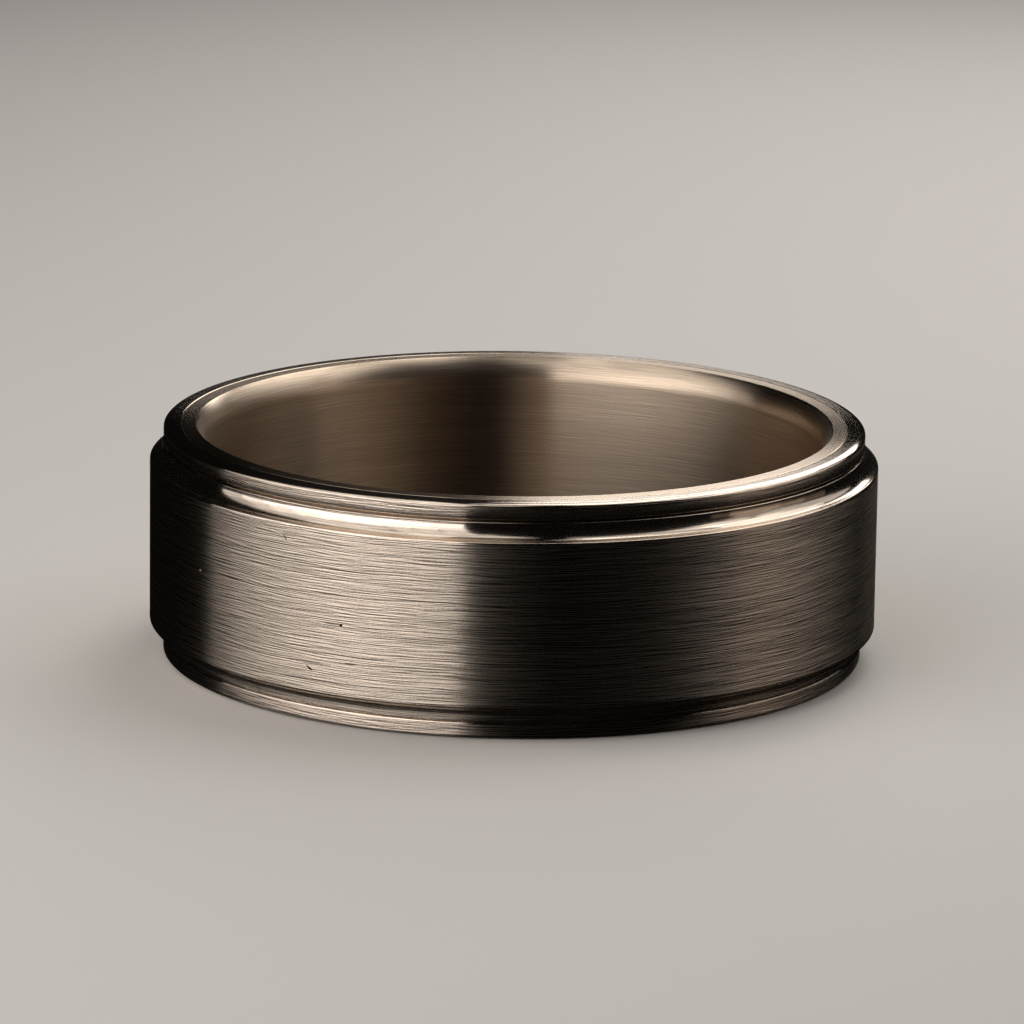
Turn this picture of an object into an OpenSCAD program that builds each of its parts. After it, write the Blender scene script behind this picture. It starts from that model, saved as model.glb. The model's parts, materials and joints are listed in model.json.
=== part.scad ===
// Spinner wedding band: a comfort-fit sleeve with a rim at each end, and a
// raised band with coved edges that turns freely between the two rims.
// The ring's axis is Z and the origin is the centre of the bore.
// All sizes are in millimetres.

/* [Ring] */
// Width of the ring from rim face to rim face
ring_w = 7.5; // [6:0.1:10]
// Finger size: diameter of the bore at its narrow middle
bore_d = 19.84; // [15:0.01:23]

/* [Sleeve] */
// Wall thickness of the sleeve
sleeve_t = 0.83; // [0.7:0.01:1.2]
// How far the comfort-fit curve reaches into the bore from each end
comfort_depth = 0.8; // [0.5:0.05:1.2]
// How much the comfort-fit curve widens the bore at each end, in radius
comfort_flare = 0.36; // [0.2:0.01:0.45]

/* [Rims] */
// How far a rim stands out from the sleeve
rim_t = 0.56; // [0.45:0.01:0.8]
// Width of a rim along the axis
rim_w = 0.53; // [0.4:0.01:0.8]
// How far the rim's rounded crown reaches in from its outer edge
crown_reach = 0.25; // [0.05:0.01:0.4]
// How far the rim's rounded crown drops down its wall
crown_drop = 0.13; // [0.05:0.01:0.25]
// Radius of the broken edge where a rim faces the band
rim_break = 0.06; // [0.02:0.01:0.08]
// Radius of the broken edges along the joint between the sleeve and a rim
joint_break = 0.04; // [0.02:0.01:0.08]

/* [Spinner band] */
// How far the band stands out past the rims
band_rise = 0.44; // [0.3:0.01:0.7]
// Height of the cove at each end of the band
cove_h = 0.5; // [0.3:0.01:0.8]
// Radius of the broken edge between a cove and the band's end face
band_break = 0.03; // [0.01:0.01:0.04]
// Radius of the rounded lip where a cove meets the brushed wall
lip_edge = 0.05; // [0.02:0.01:0.1]
// Radial running gap between the band and the sleeve
running_gap = 0.04; // [0.02:0.01:0.08]
// Free play of the band along the axis
end_play = 0.08; // [0.04:0.01:0.12]
// Gap left under the band when it has settled on the lower rim
settled_gap = 0.01; // [0.01:0.01:0.02]

/* [Hidden] */

// Warm white gold
POLISHED = [0.80, 0.74, 0.65];
BRUSHED = [0.72, 0.66, 0.58];
SATIN = [0.66, 0.59, 0.49];

$fn = 180;
// Cutters run past the faces that they open by this much
over = 0.5;

half_w = ring_w / 2;
bore_r = bore_d / 2;
sleeve_r = bore_r + sleeve_t;
rim_r = sleeve_r + rim_t;
band_r = rim_r + band_rise;
band_bore_r = sleeve_r + running_gap;
band_half = half_w - rim_w - end_play / 2;
// The band lies this far below the middle once it has settled
band_drop = end_play / 2 - settled_gap;
// The cove is a quarter ellipse from the broken edge to the lip
cove_d = band_rise - lip_edge;
cove_z = band_half - band_break;
lip_z = cove_z - cove_h;
// The comfort-fit arc is tangent to the bore and opens it by comfort_flare
comfort_z = half_w - comfort_depth;
comfort_arc = (pow(comfort_flare, 2) + pow(comfort_depth, 2)) / (2 * comfort_flare);

// Turned section from radius r1 to r2 and from height z1 to z2
module section(r1, r2, z1, z2) {
    translate([r1, z1])
        square([r2 - r1, z2 - z1]);
}

// Metal taken off a corner at (r, z) that points up and outwards, so that it
// is rounded by a quarter ellipse
module corner(r, z, reach, drop) {
    difference() {
        section(r - reach, r + over, z - drop, z + over);
        translate([r - reach, z - drop])
            scale([reach, drop])
                circle(1);
    }
}

// Metal taken off a corner at (r, z) that points up and inwards
module inner_corner(r, z, e) {
    translate([r, 0])
        mirror([1, 0])
            corner(0, z, e, e);
}

// Metal taken off a corner at (r, z) that points down and outwards
module lower_corner(r, z, e) {
    mirror([0, 1])
        corner(r, -z, e, e);
}

// Metal taken off the sleeve's upper end: comfort-fit curve and joint edge
module sleeve_end_cut() {
    difference() {
        section(bore_r - over, bore_r + comfort_flare, comfort_z, half_w + over);
        translate([bore_r + comfort_arc, comfort_z])
            circle(comfort_arc);
    }
    corner(sleeve_r, half_w, joint_break, joint_break);
}

// Metal taken off the band's upper edge: cove, broken edge and rounded lip
module cove_cut() {
    section(rim_r, band_r + over, cove_z, band_half + over);
    section(rim_r + cove_d, band_r + over, lip_z, band_half + over);
    intersection() {
        section(rim_r, band_r + over, lip_z, cove_z);
        translate([rim_r + cove_d, cove_z])
            scale([cove_d, cove_h])
                circle(1);
    }
    corner(rim_r, band_half, band_break, band_break);
    corner(band_r, lip_z, lip_edge, lip_edge);
}

// One rim, flush with the sleeve's upper end
module rim() {
    rotate_extrude()
        difference() {
            section(sleeve_r, rim_r, half_w - rim_w, half_w);
            corner(rim_r, half_w, crown_reach, crown_drop);
            lower_corner(rim_r, half_w - rim_w, rim_break);
            inner_corner(sleeve_r, half_w, joint_break);
        }
}

// Liner tube that the finger goes through and the rims are joined to
module inner_sleeve() {
    color(SATIN)
        rotate_extrude()
            difference() {
                section(bore_r, sleeve_r, -half_w, half_w);
                sleeve_end_cut();
                mirror([0, 1])
                    sleeve_end_cut();
            }
}

module upper_rim() {
    color(POLISHED)
        rim();
}

module lower_rim() {
    color(POLISHED)
        mirror([0, 0, 1])
            rim();
}

// Raised band, free to turn round the sleeve between the rims
module spinner_band() {
    color(BRUSHED)
        translate([0, 0, -band_drop])
            rotate_extrude()
                difference() {
                    section(band_bore_r, band_r, -band_half, band_half);
                    cove_cut();
                    mirror([0, 1])
                        cove_cut();
                }
}

inner_sleeve();
lower_rim();
upper_rim();
spinner_band();
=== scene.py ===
import json
import math

import bpy
from mathutils import Matrix, Vector


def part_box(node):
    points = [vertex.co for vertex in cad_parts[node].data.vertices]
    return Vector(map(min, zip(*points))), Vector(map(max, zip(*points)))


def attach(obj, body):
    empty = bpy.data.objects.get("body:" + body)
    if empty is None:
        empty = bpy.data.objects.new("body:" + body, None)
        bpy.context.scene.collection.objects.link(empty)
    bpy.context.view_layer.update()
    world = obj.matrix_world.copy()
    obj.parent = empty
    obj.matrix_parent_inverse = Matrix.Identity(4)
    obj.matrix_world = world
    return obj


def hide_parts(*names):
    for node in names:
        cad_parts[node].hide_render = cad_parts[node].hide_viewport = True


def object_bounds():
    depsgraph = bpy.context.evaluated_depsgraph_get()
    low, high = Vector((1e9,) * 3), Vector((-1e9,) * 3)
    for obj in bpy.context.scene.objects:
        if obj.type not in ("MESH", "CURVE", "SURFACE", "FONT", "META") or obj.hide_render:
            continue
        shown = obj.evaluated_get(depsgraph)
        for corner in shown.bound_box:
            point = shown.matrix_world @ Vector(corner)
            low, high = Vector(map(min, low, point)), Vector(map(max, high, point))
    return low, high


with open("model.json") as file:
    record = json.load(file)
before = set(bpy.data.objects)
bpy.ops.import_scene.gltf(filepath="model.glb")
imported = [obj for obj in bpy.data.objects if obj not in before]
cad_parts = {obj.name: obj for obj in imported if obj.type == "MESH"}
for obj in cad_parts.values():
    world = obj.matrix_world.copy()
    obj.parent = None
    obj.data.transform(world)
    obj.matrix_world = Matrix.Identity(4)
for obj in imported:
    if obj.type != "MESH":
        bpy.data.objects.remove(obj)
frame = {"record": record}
CAD_LOW, CAD_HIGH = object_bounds()
MM = 0.001

# --- Sizes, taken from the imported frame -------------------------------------


def radius(node):
    """Outer radius of a turned CAD node."""
    low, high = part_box(node)
    return max(high.x, high.y, -low.x, -low.y)


MOUNTS = {m["name"]: m for m in frame["record"]["mounts"]}
BORE_R = MOUNTS["finger_bore"]["dims"]["r_mm"] * MM
BORE_STRAIGHT = MOUNTS["finger_bore"]["dims"]["length_mm"] * MM
SLEEVE_R = radius("inner_sleeve")
RIM_R = radius("upper_rim")
BAND_R = radius("spinner_band")
HALF_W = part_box("inner_sleeve")[1].z
RIM_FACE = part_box("upper_rim")[0].z
BAND_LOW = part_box("spinner_band")[0].z
BAND_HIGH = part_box("spinner_band")[1].z

# --- Finish sizes that the frame does not state ------------------------------

COMFORT_FLARE = 0.36 * MM
RUNNING_GAP = 0.04 * MM
CROWN_REACH = 0.25 * MM
CROWN_DROP = 0.13 * MM
EDGE_BREAK = 0.06 * MM
JOINT_BREAK = 0.04 * MM
COVE_H = 0.50 * MM
LIP_ROUND = 0.05 * MM
BAND_BREAK = 0.03 * MM
TURN_STEPS = 720
# Longest step of an arc in degrees, and the fewest steps that an arc may have
ARC_STEP = 7.5
ARC_STEPS_MIN = 3
# The lower cove runs from 180 degrees at the rim to 90 at the lip
COVE_BRUSHED_END, COVE_POLISHED_START = 158, 143
# How polished a surface is, from brushed to mirror bright
BRUSHED, HALF_BRUSHED, SATIN, POLISHED = 0.0, 0.5, 0.6, 1.0

# --- Turned meshes ------------------------------------------------------------


class Profile:
    """Closed outline in (r, z) that goes anticlockwise round the metal. It is
    made of straight runs and arcs, and keeps the exact normal at both ends of
    every run. Polish belongs to the end of a run, and fades from one to the next."""

    def __init__(self, r, z, polish):
        self.points = [(r, z, polish)]
        self.runs = []

    def _run(self, r, z, polish, normal_from, normal_to):
        self.points.append((r, z, polish))
        self.runs.append((normal_from, normal_to))

    def line(self, r, z, polish):
        r0, z0, _ = self.points[-1]
        length = math.hypot(r - r0, z - z0)
        normal = ((z - z0) / length, (r0 - r) / length)
        self._run(r, z, polish, normal, normal)

    def arc(self, r, z, size, start, end, polish, size_z=None):
        """Arc about (r, z) between two angles in degrees, elliptical if it has
        a size_z. It is convex where the angle grows and concave where it falls."""
        side = 1 if end > start else -1
        size_z = size_z or size
        steps = max(ARC_STEPS_MIN, math.ceil(abs(end - start) / ARC_STEP))

        def normal(a):
            n = Vector((math.cos(a) / size, math.sin(a) / size_z)).normalized() * side
            return (n.x, n.y)

        for i in range(steps):
            a = math.radians(start + (end - start) * i / steps)
            b = math.radians(start + (end - start) * (i + 1) / steps)
            self._run(r + size * math.cos(b), z + size_z * math.sin(b), polish,
                      normal(a), normal(b))


def turn(name, profile):
    """Closed mesh made by turning a closed profile round Z, with its exact
    normals and its polish as a point attribute."""
    rings = profile.points[:-1]
    count = len(rings)
    angles = [2 * math.pi * j / TURN_STEPS for j in range(TURN_STEPS)]
    spokes = [(math.cos(a), math.sin(a)) for a in angles]
    vertices = [(r * c, r * s, z) for r, z, _ in rings for c, s in spokes]
    faces, normals = [], []
    for i, (normal_from, normal_to) in enumerate(profile.runs):
        low, high = i * TURN_STEPS, (i + 1) % count * TURN_STEPS
        for j in range(TURN_STEPS):
            k = (j + 1) % TURN_STEPS
            faces.append((low + j, low + k, high + k, high + j))
            for (nr, nz), (c, s) in ((normal_from, spokes[j]), (normal_from, spokes[k]),
                                     (normal_to, spokes[k]), (normal_to, spokes[j])):
                normals.append((nr * c, nr * s, nz))
    mesh = bpy.data.meshes.new(name)
    mesh.from_pydata(vertices, [], faces)
    polish = mesh.attributes.new("polish", "FLOAT", "POINT")
    polish.data.foreach_set("value", [p for _, _, p in rings for _ in spokes])
    mesh.shade_smooth()
    mesh.normals_split_custom_set(normals)
    piece = bpy.data.objects.new(name, mesh)
    bpy.context.scene.collection.objects.link(piece)
    return piece


def sleeve_profile():
    """Comfort-fit liner: straight bore, a curve out to each end, and a flat
    annulus as far as the rim's joint."""
    curve_z = BORE_STRAIGHT / 2
    depth = HALF_W - curve_z
    size = (COMFORT_FLARE ** 2 + depth ** 2) / (2 * COMFORT_FLARE)
    mouth_turn = math.degrees(math.asin(depth / size))
    p = Profile(SLEEVE_R, -HALF_W + JOINT_BREAK, POLISHED)
    p.line(SLEEVE_R, HALF_W - JOINT_BREAK, POLISHED)
    p.arc(SLEEVE_R - JOINT_BREAK, HALF_W - JOINT_BREAK, JOINT_BREAK, 0, 90, POLISHED)
    p.line(BORE_R + COMFORT_FLARE, HALF_W, POLISHED)
    p.arc(BORE_R + size, curve_z, size, 180 - mouth_turn, 180, SATIN)
    p.line(BORE_R, -curve_z, SATIN)
    p.arc(BORE_R + size, -curve_z, size, 180, 180 + mouth_turn, SATIN)
    p.line(SLEEVE_R - JOINT_BREAK, -HALF_W, POLISHED)
    p.arc(SLEEVE_R - JOINT_BREAK, -HALF_W + JOINT_BREAK, JOINT_BREAK, 270, 360, POLISHED)
    return p


def upper_rim_profile():
    """Rim at the upper end. Its wall fades from polished at the foot to brushed
    at the top, under a polished crown and a flat end face."""
    crown_r, crown_z = RIM_R - CROWN_REACH, HALF_W - CROWN_DROP
    p = Profile(SLEEVE_R, RIM_FACE, POLISHED)
    p.line(RIM_R - EDGE_BREAK, RIM_FACE, POLISHED)
    p.arc(RIM_R - EDGE_BREAK, RIM_FACE + EDGE_BREAK, EDGE_BREAK, -90, 0, POLISHED)
    p.line(RIM_R, crown_z, BRUSHED)
    p.arc(crown_r, crown_z, CROWN_REACH, 0, 90, POLISHED, CROWN_DROP)
    p.line(SLEEVE_R + JOINT_BREAK, HALF_W, POLISHED)
    p.arc(SLEEVE_R + JOINT_BREAK, HALF_W - JOINT_BREAK, JOINT_BREAK, 90, 180, POLISHED)
    p.line(SLEEVE_R, RIM_FACE, POLISHED)
    return p


def lower_rim_profile():
    """Rim at the lower end. Its wall is brushed down to the end face."""
    crown_r, crown_z = RIM_R - CROWN_REACH, -HALF_W + CROWN_DROP
    p = Profile(SLEEVE_R, -HALF_W + JOINT_BREAK, POLISHED)
    p.arc(SLEEVE_R + JOINT_BREAK, -HALF_W + JOINT_BREAK, JOINT_BREAK, 180, 270, POLISHED)
    p.line(crown_r, -HALF_W, POLISHED)
    p.arc(crown_r, crown_z, CROWN_REACH, -90, 0, BRUSHED, CROWN_DROP)
    p.line(RIM_R, -RIM_FACE - EDGE_BREAK, BRUSHED)
    p.arc(RIM_R - EDGE_BREAK, -RIM_FACE - EDGE_BREAK, EDGE_BREAK, 0, 90, POLISHED)
    p.line(SLEEVE_R, -RIM_FACE, POLISHED)
    p.line(SLEEVE_R, -HALF_W + JOINT_BREAK, POLISHED)
    return p


def band_profile():
    """Raised band: brushed wall, rounded lips and coved edges. The lower cove
    is brushed beside the rim and turns polished towards its lip."""
    bore = SLEEVE_R + RUNNING_GAP
    cove_depth = BAND_R - LIP_ROUND - RIM_R
    cove_low, cove_high = BAND_LOW + BAND_BREAK, BAND_HIGH - BAND_BREAK
    lip_low, lip_high = cove_low + COVE_H + LIP_ROUND, cove_high - COVE_H - LIP_ROUND
    p = Profile(bore, BAND_LOW, POLISHED)
    p.line(RIM_R - BAND_BREAK, BAND_LOW, POLISHED)
    p.arc(RIM_R - BAND_BREAK, cove_low, BAND_BREAK, -90, 0, SATIN)
    for start, end, polish in ((180, COVE_BRUSHED_END, BRUSHED),
                               (COVE_BRUSHED_END, COVE_POLISHED_START, HALF_BRUSHED),
                               (COVE_POLISHED_START, 90, POLISHED)):
        p.arc(RIM_R + cove_depth, cove_low, cove_depth, start, end, polish, COVE_H)
    p.arc(BAND_R - LIP_ROUND, lip_low, LIP_ROUND, -90, 0, SATIN)
    p.line(BAND_R, lip_low + LIP_ROUND, BRUSHED)
    p.line(BAND_R, lip_high - LIP_ROUND, BRUSHED)
    p.line(BAND_R, lip_high, SATIN)
    p.arc(BAND_R - LIP_ROUND, lip_high, LIP_ROUND, 0, 90, POLISHED)
    p.arc(RIM_R + cove_depth, cove_high, cove_depth, 270, 180, POLISHED, COVE_H)
    p.arc(RIM_R - BAND_BREAK, cove_high, BAND_BREAK, 0, 90, SATIN)
    p.line(bore, BAND_HIGH, POLISHED)
    p.line(bore, BAND_LOW, POLISHED)
    return p


# --- Metal -------------------------------------------------------------------


class Graph:
    """Short names for the shader nodes that the metal is made of."""

    def __init__(self, tree):
        self.tree = tree

    def add(self, kind, inputs=None, **settings):
        node = self.tree.nodes.new("ShaderNode" + kind)
        for key, value in settings.items():
            setattr(node, key, value)
        for key, value in (inputs or {}).items():
            self.set(node.inputs[key], value)
        return node

    def set(self, socket, value):
        if isinstance(value, bpy.types.NodeSocket):
            self.tree.links.new(value, socket)
        else:
            socket.default_value = value

    def math(self, operation, a, b=0.0, c=0.0):
        node = self.add("Math", operation=operation)
        for i, value in enumerate((a, b, c)):
            self.set(node.inputs[i], value)
        return node.outputs[0]

    def span(self, value, low, high, to_low=0.0, to_high=1.0, smooth=False):
        kind = "SMOOTHSTEP" if smooth else "LINEAR"
        node = self.add("MapRange", interpolation_type=kind, inputs={
            "Value": value, "From Min": low, "From Max": high,
            "To Min": to_low, "To Max": to_high})
        return node.outputs["Result"]


# Length round the ring and width across it of each grain, in mm
THREAD, STRAND, BROAD = (1.2, 0.029), (3.6, 0.032), (6.0, 0.4)
# Painted shade of the thread's relief: the colour is lighter on the side of each thread that
# faces up and darker on the side that faces down, by its slope taken over this many mm across the
# ring
THREAD_SHIFT = 0.025
THREAD_SLOPE_SHADE, STRAND_TONE, GRIT_TONE = 2.6, 1.4, 0.8
THREAD_SEED, STRAND_SEED, BROAD_SEED = 3.0, 11.0, 23.0
BROAD_DETAIL = 2.0
DETAIL_ROUGHNESS = 0.55
# Most of the noise lies between these two values, about a middle of 0.5
NOISE_LOW, NOISE_MIDDLE, NOISE_HIGH = 0.3, 0.5, 0.7
BROAD_SHADE = 0.06
ROUGHNESS_SPREAD = 0.03
STRAND_HEIGHT = 0.7
GRIT_SCALE = 26.0
# How far the grain wanders up and down in mm, and its noise's scale per mm
WANDER, WANDER_SCALE = 0.08, 0.4
DARKEST, BRIGHTEST = 0.2, 1.35
# Share of the grain that is left where the metal is polished
POLISHED_GRAIN = 0.15
# A mark fades from full at this share of its squared half sizes to nothing at its
# edge, and nothing farther than this many mm from its middle belongs to it
MARK_CORE = 0.3
MARK_RANGE = 2.0
# Rotation of the anisotropy that spreads the gloss across the grain
QUARTER_TURN = 0.25


def streaks(g, x, y, z, r, size, seed, detail=0.0):
    """Grain that follows the turning direction: noise stretched round the ring
    and squeezed across it."""
    length, width = size
    across = g.math("DIVIDE", z, width)
    along_x = g.math("DIVIDE", x, length)
    along_y = g.math("DIVIDE", y, length)
    vector = g.add("CombineXYZ", {"X": along_x, "Y": along_y, "Z": across})
    depth = g.math("MULTIPLY_ADD", r, 1.0 / width, seed)
    noise = g.add("TexNoise", {"Vector": vector.outputs[0], "W": depth, "Scale": 1.0,
                               "Detail": detail, "Roughness": DETAIL_ROUGHNESS},
                  noise_dimensions="4D")
    return noise.outputs["Fac"]


def mark(g, place, azimuth, height, long, thick, slope=0.0, bow=0.0):
    """Mask of one stroke on the wall, 1 in its middle. It lies at an azimuth in
    degrees from the front and a height in mm, and has half sizes in mm. The
    slope and the bow tilt and bend it."""
    a = math.radians(azimuth)
    middle = (BAND_R / MM * math.sin(a), -BAND_R / MM * math.cos(a), height)
    offset = g.add("VectorMath", {0: place, 1: middle}, operation="SUBTRACT").outputs[0]
    along = g.add("VectorMath", {0: offset, 1: (math.cos(a), math.sin(a), 0.0)},
                  operation="DOT_PRODUCT").outputs["Value"]
    rise = g.add("SeparateXYZ", {"Vector": offset}).outputs["Z"]
    bend = g.math("MULTIPLY_ADD", along, bow, slope)
    rise = g.math("SUBTRACT", rise, g.math("MULTIPLY", bend, along))
    u = g.math("DIVIDE", along, long)
    v = g.math("DIVIDE", rise, thick)
    reach = g.math("MULTIPLY_ADD", u, u, g.math("MULTIPLY", v, v))
    apart = g.add("VectorMath", {0: offset, 1: offset}, operation="DOT_PRODUCT").outputs["Value"]
    near = g.math("LESS_THAN", apart, MARK_RANGE ** 2)
    return g.math("MULTIPLY", g.span(reach, 1.0, MARK_CORE, smooth=True), near)


def metal(name, colour, rough_brushed, rough_polished, grain_depth, grain_tone_and_slope_shade,
          anisotropy, marks=()):
    """Turned or brushed gold alloy. The grain fades and the gloss grows from the
    brushed zones to the polished ones, by the mesh's polish attribute."""
    material = bpy.data.materials.new(name)
    material.use_nodes = True
    material.node_tree.nodes.clear()
    g = Graph(material.node_tree)
    place = g.add("VectorMath", operation="SCALE")
    g.set(place.inputs["Scale"], 1.0 / MM)
    g.set(place.inputs[0], g.add("TexCoord").outputs["Object"])
    place = place.outputs[0]
    split = g.add("SeparateXYZ", {"Vector": place})
    x, y, z = (split.outputs[i] for i in range(3))
    r = g.math("SQRT", g.math("MULTIPLY_ADD", x, x, g.math("MULTIPLY", y, y)))
    polish = g.add("Attribute", attribute_name="polish").outputs["Fac"]
    brushed = g.math("SUBTRACT", 1.0, polish)
    grain_left = g.math("MULTIPLY_ADD", brushed, 1.0 - POLISHED_GRAIN, POLISHED_GRAIN)

    wave = g.add("TexNoise", {"Vector": place, "Scale": WANDER_SCALE, "Detail": 0.0})
    z_wavy = g.math("MULTIPLY_ADD", wave.outputs["Fac"], WANDER, z)
    thread = streaks(g, x, y, z_wavy, r, THREAD, THREAD_SEED)
    beside = streaks(g, x, y, g.math("ADD", z_wavy, THREAD_SHIFT), r, THREAD, THREAD_SEED)
    strand = streaks(g, x, y, z_wavy, r, STRAND, STRAND_SEED)
    broad = streaks(g, x, y, z, r, BROAD, BROAD_SEED, BROAD_DETAIL)
    grit = g.add("TexNoise", {"Vector": place, "Scale": GRIT_SCALE, "Detail": 0.0}).outputs["Fac"]

    # Painted shade from the thread's slope, then random tone from the strand and the grit
    tone_and_slope_shade = g.math("MULTIPLY", g.math("SUBTRACT", thread, beside), THREAD_SLOPE_SHADE)
    tone_and_slope_shade = g.math("MULTIPLY_ADD", g.math("SUBTRACT", strand, NOISE_MIDDLE), STRAND_TONE, tone_and_slope_shade)
    tone_and_slope_shade = g.math("MULTIPLY_ADD", g.math("SUBTRACT", grit, NOISE_MIDDLE), GRIT_TONE, tone_and_slope_shade)
    shade = g.math("MULTIPLY_ADD", tone_and_slope_shade, g.math("MULTIPLY", grain_left, grain_tone_and_slope_shade), 1.0)
    broad_shade = g.span(broad, NOISE_LOW, NOISE_HIGH, 1.0 - BROAD_SHADE, 1.0 + BROAD_SHADE)
    shade = g.math("MULTIPLY", shade, broad_shade)
    shade = g.math("MAXIMUM", shade, DARKEST)

    height = g.math("MULTIPLY_ADD", strand, STRAND_HEIGHT, thread)
    height = g.math("MULTIPLY", height, grain_left)
    # A mark's light above zero paints a highlight into the colour, and below zero darkens it; its
    # depth dents the bump height
    for depth, light, *where in marks:
        mask = mark(g, place, *where)
        height = g.math("MULTIPLY_ADD", mask, -depth, height)
        shade = g.math("MULTIPLY", shade, g.math("MULTIPLY_ADD", mask, light, 1.0))
    shade = g.math("MINIMUM", shade, BRIGHTEST)
    tinted = g.add("VectorMath", operation="SCALE")
    tinted.inputs[0].default_value = colour
    g.set(tinted.inputs["Scale"], shade)

    rough = g.math("MULTIPLY_ADD", brushed, rough_brushed - rough_polished, rough_polished)
    spread = g.span(strand, NOISE_LOW, NOISE_HIGH, -ROUGHNESS_SPREAD, ROUGHNESS_SPREAD)
    rough = g.math("MULTIPLY_ADD", spread, brushed, rough)
    bump = g.add("Bump", {"Height": height, "Distance": grain_depth, "Strength": 1.0})

    shader = g.add("BsdfPrincipled", {
        "Base Color": tinted.outputs[0], "Metallic": 1.0, "Roughness": rough,
        "Normal": bump.outputs["Normal"], "Anisotropic": anisotropy,
        "Anisotropic Rotation": QUARTER_TURN,
        "Tangent": g.add("Tangent", direction_type="RADIAL", axis="Z").outputs[0]})
    output = g.add("OutputMaterial", {"Surface": shader.outputs[0]})
    output.is_active_output = True
    return material


# Each mark of wear: depth in grain depths, change of colour (above zero a painted highlight
# of the scratch, below zero darker), then azimuth, height, half length, half thickness, slope and
# bow, as mark() takes them
WEAR_AND_PAINTED_GLINTS = (
    (7.0, 1.5, -38.6, 2.28, 0.42, 0.036, -0.20, -0.45),
    (4.0, -0.9, -36.9, 2.12, 0.08, 0.035, -1.2, 0.0),
    (3.0, -1.0, -26.7, -0.37, 0.06, 0.05, 0.0, 0.0),
    (2.5, -0.7, -28.2, -0.37, 0.36, 0.025, 0.0, 0.0),
    (2.5, 1.0, -22.0, -0.42, 1.0, 0.025, 0.0, 0.0),
    (4.0, -1.0, -32.2, -1.90, 0.13, 0.042, -0.5, 3.0),
    (2.5, -0.7, -25.1, -1.57, 0.26, 0.03, 0.0, 0.0),
    (3.0, 3.0, -56.6, 0.34, 0.05, 0.05, 0.0, 0.0),
)
GOLD = (0.74, 0.64, 0.54)
# Darker copy of GOLD on the whole sleeve: painted shade that darkens the inside of the ring
BORE_GOLD_PAINTED_SHADE = (0.68, 0.56, 0.44)
OUTSIDE = {"rough_brushed": 0.32, "rough_polished": 0.13, "grain_depth": 0.0085 * MM,
           "grain_tone_and_slope_shade": 1.0, "anisotropy": 1.0}
INSIDE = {"rough_brushed": 0.40, "rough_polished": 0.21, "grain_depth": 0.0015 * MM,
          "grain_tone_and_slope_shade": 0.4, "anisotropy": 0.93}
BAND_METAL = metal("brushed_band", GOLD, marks=WEAR_AND_PAINTED_GLINTS, **OUTSIDE)
RIM_METAL = metal("turned_rim", GOLD, **OUTSIDE)
SLEEVE_METAL = metal("satin_sleeve_painted_shade", BORE_GOLD_PAINTED_SHADE, **INSIDE)


def place_piece(name, profile, material, node, body):
    """Turned piece that stands for a CAD node and rides on its body."""
    piece = turn(name, profile)
    piece.data.materials.append(material)
    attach(piece, body)
    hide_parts(node)


place_piece("sleeve_turned", sleeve_profile(), SLEEVE_METAL, "inner_sleeve", "sleeve")
place_piece("lower_rim_turned", lower_rim_profile(), RIM_METAL, "lower_rim", "sleeve")
place_piece("upper_rim_turned", upper_rim_profile(), RIM_METAL, "upper_rim", "sleeve")
place_piece("band_brushed", band_profile(), BAND_METAL, "spinner_band", "band")

# --- Stage, light and camera --------------------------------------------------

CENTRE = (CAD_LOW + CAD_HIGH) / 2
FLOOR_SIZE = 3.0
BOX_DISTANCE = 0.15
FLOOR_COLOUR = (0.80, 0.79, 0.77, 1.0)
FLOOR_ROUGHNESS = 0.8
WORLD_COLOUR = (0.003, 0.0028, 0.0026, 1.0)
CAMERA_DISTANCE = 0.2202
CAMERA_ELEVATION = 13.63
CAMERA_ROLL = 0.8
CAMERA_AIM = (-0.045 * MM, 0.0, 0.80 * MM)
# The camera's sensor and focal length in mm
SENSOR_WIDTH, LENS = 36.0, 239.0
CLIP_START = 0.01
# Rows of lights, as the elevations that they span
LOW, MID, HIGH, TOP = (-1.2, 12), (12, 33), (33, 56), (56, 80)
MID_UPPER = (17, 33)
COOL, WARM = (1.0, 0.95, 0.90), (1.0, 0.94, 0.90)
PEACH, AMBER = (1.0, 0.88, 0.78), (1.0, 0.77, 0.61)
# The key light's azimuths, and how its glow falls off from its middle
KEY_LEFT, KEY_MIDDLE, KEY_RIGHT = -104, -48, -15
KEY_REACH = 62
KEY_FALLOFF = 1.5
KEY_COLUMNS = 9
KEY_GLOW = 3.4
KEY_MID_SHARE = 0.6
KEY_HIGH_GLOW = 0.8


def bearing(azimuth, elevation):
    """Unit vector that far round to the right of the camera and up, in degrees."""
    a, e = math.radians(azimuth), math.radians(elevation)
    return Vector((math.sin(a) * math.cos(e), -math.cos(a) * math.cos(e), math.sin(e)))


def facing(place, target):
    """Matrix at place whose -Z looks at target and whose Y is up."""
    look = (target - place).to_track_quat("-Z", "Y")
    return Matrix.Translation(place) @ look.to_matrix().to_4x4()


def soft_box(name, azimuths, elevations, glow, colour):
    """Soft light of an even radiance that spans these angles, in degrees, as
    seen from the ring."""
    azimuth, elevation = sum(azimuths) / 2, sum(elevations) / 2
    half_turn = math.radians(azimuths[1] - azimuths[0]) / 2
    half_rise = math.radians(elevations[1] - elevations[0]) / 2
    data = bpy.data.lights.new(name, "AREA")
    data.shape = "RECTANGLE"
    data.size = 2 * BOX_DISTANCE * math.tan(half_turn) * math.cos(math.radians(elevation))
    data.size_y = 2 * BOX_DISTANCE * math.tan(half_rise)
    data.energy = glow * math.pi * data.size * data.size_y
    data.color = colour
    box = bpy.data.objects.new(name, data)
    box.matrix_world = facing(CENTRE + bearing(azimuth, elevation) * BOX_DISTANCE, CENTRE)
    box.visible_camera = False
    bpy.context.scene.collection.objects.link(box)


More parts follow.
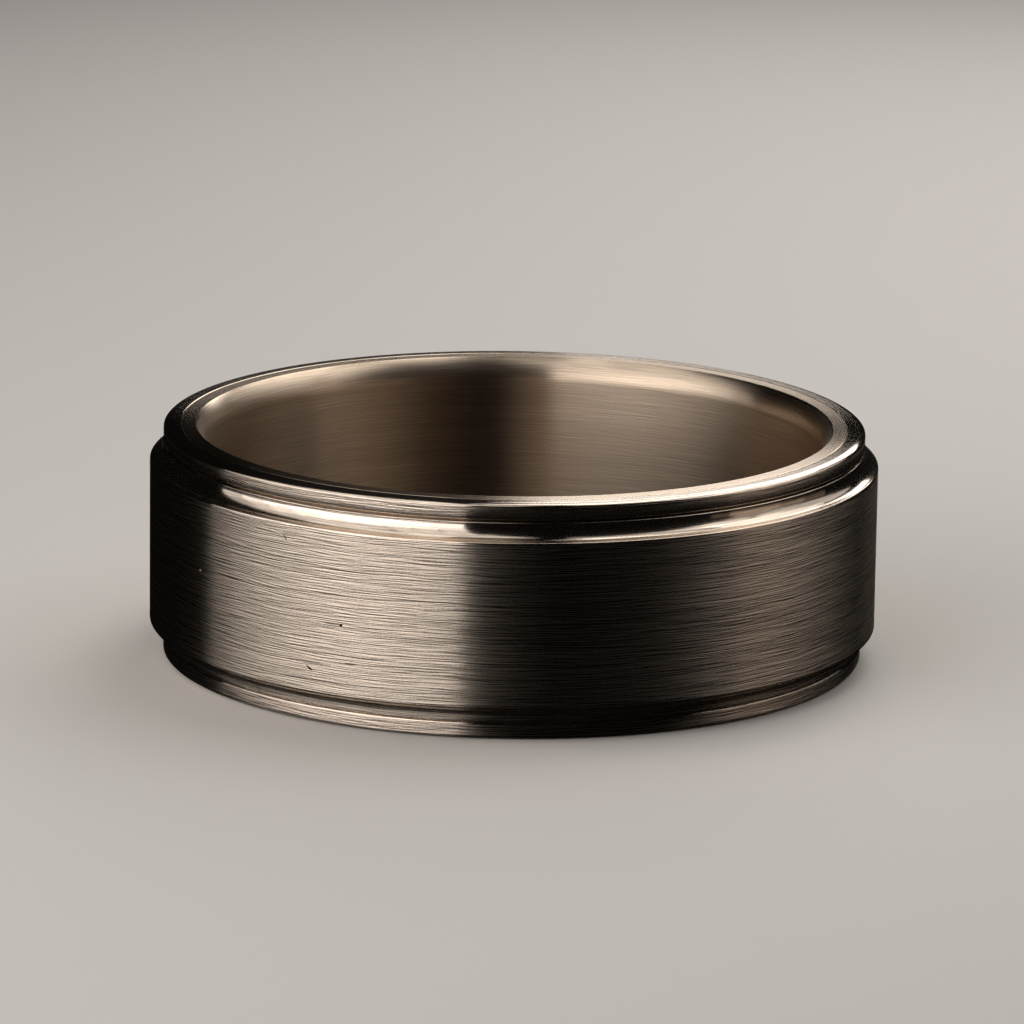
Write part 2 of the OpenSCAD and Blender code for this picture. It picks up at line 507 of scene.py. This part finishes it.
def floor():
    """Plain pale floor under the ring. Reflections do not show it."""
    mesh = bpy.data.meshes.new("floor")
    h = FLOOR_SIZE / 2
    corners = [(x, y, CAD_LOW.z) for x, y in ((-h, -h), (h, -h), (h, h), (-h, h))]
    mesh.from_pydata(corners, [], [(0, 1, 2, 3)])
    material = bpy.data.materials.new("pale_floor")
    material.use_nodes = True
    shader = material.node_tree.nodes["Principled BSDF"]
    shader.inputs["Base Color"].default_value = FLOOR_COLOUR
    shader.inputs["Roughness"].default_value = FLOOR_ROUGHNESS
    mesh.materials.append(material)
    plane = bpy.data.objects.new("floor", mesh)
    bpy.context.scene.collection.objects.link(plane)
    plane.visible_glossy = False


def camera():
    """Long lens a little above the ring, with the photograph's slight roll."""
    data = bpy.data.cameras.new("camera")
    data.sensor_width = SENSOR_WIDTH
    data.lens = LENS
    data.clip_start = CLIP_START
    eye = bpy.data.objects.new("camera", data)
    aim = CENTRE + Vector(CAMERA_AIM)
    place = CENTRE + bearing(0.0, CAMERA_ELEVATION) * CAMERA_DISTANCE
    eye.matrix_world = facing(place, aim) @ Matrix.Rotation(math.radians(CAMERA_ROLL), 4, "Z")
    bpy.context.scene.collection.objects.link(eye)
    bpy.context.scene.camera = eye


def key_light():
    """Tall light on the left, in columns. The two lower rows are brightest in
    the middle, and the high row is even."""
    edges = [KEY_LEFT + (KEY_RIGHT - KEY_LEFT) * i / KEY_COLUMNS for i in range(KEY_COLUMNS + 1)]
    for i, azimuths in enumerate(zip(edges, edges[1:])):
        off_middle = abs(sum(azimuths) / 2 - KEY_MIDDLE) / KEY_REACH
        glow = KEY_GLOW * (1 - off_middle ** KEY_FALLOFF)
        soft_box("key_low_%d" % i, azimuths, LOW, glow, WARM)
        soft_box("key_mid_%d" % i, azimuths, MID, KEY_MID_SHARE * glow, WARM)
        soft_box("key_high_%d" % i, azimuths, HIGH, KEY_HIGH_GLOW, WARM)


floor()
camera()
key_light()
for name, azimuths, elevations, glow, colour in (
        ("top_left", (-120, -60), TOP, 1.0, COOL),
        ("top_front", (-60, 0), TOP, 0.8, COOL),
        ("top_right", (60, 120), TOP, 0.6, COOL),
        ("top_back", (120, 180), TOP, 2.2, COOL),
        ("right_low_0", (64, 71), LOW, 0.1, AMBER),
        ("right_low_1", (71, 78), LOW, 0.4, AMBER),
        ("right_low_2", (78, 92), LOW, 0.4, AMBER),
        ("right_low_3", (92, 104), LOW, 0.25, AMBER),
        ("right_low_4", (104, 116), LOW, 0.1, AMBER),
        ("right_mid", (74, 90), MID, 0.3, PEACH),
        ("right_high", (70, 90), HIGH, 1.1, COOL),
        ("back_right_mid", (90, 140), MID_UPPER, 0.6, COOL),
        ("back_right_high", (90, 140), HIGH, 1.4, COOL),
        ("back_high", (140, 165), HIGH, 2.4, COOL),
        ("back_left_high", (165, 179), HIGH, 0.6, COOL),
        ("back_mid", (150, 180), MID_UPPER, 2.4, COOL)):
    soft_box(name, azimuths, elevations, glow, colour)

world = bpy.data.worlds.new("world")
world.use_nodes = True
world.node_tree.nodes["Background"].inputs["Color"].default_value = WORLD_COLOUR
bpy.context.scene.world = world
bpy.context.scene.view_settings.view_transform = "Standard"
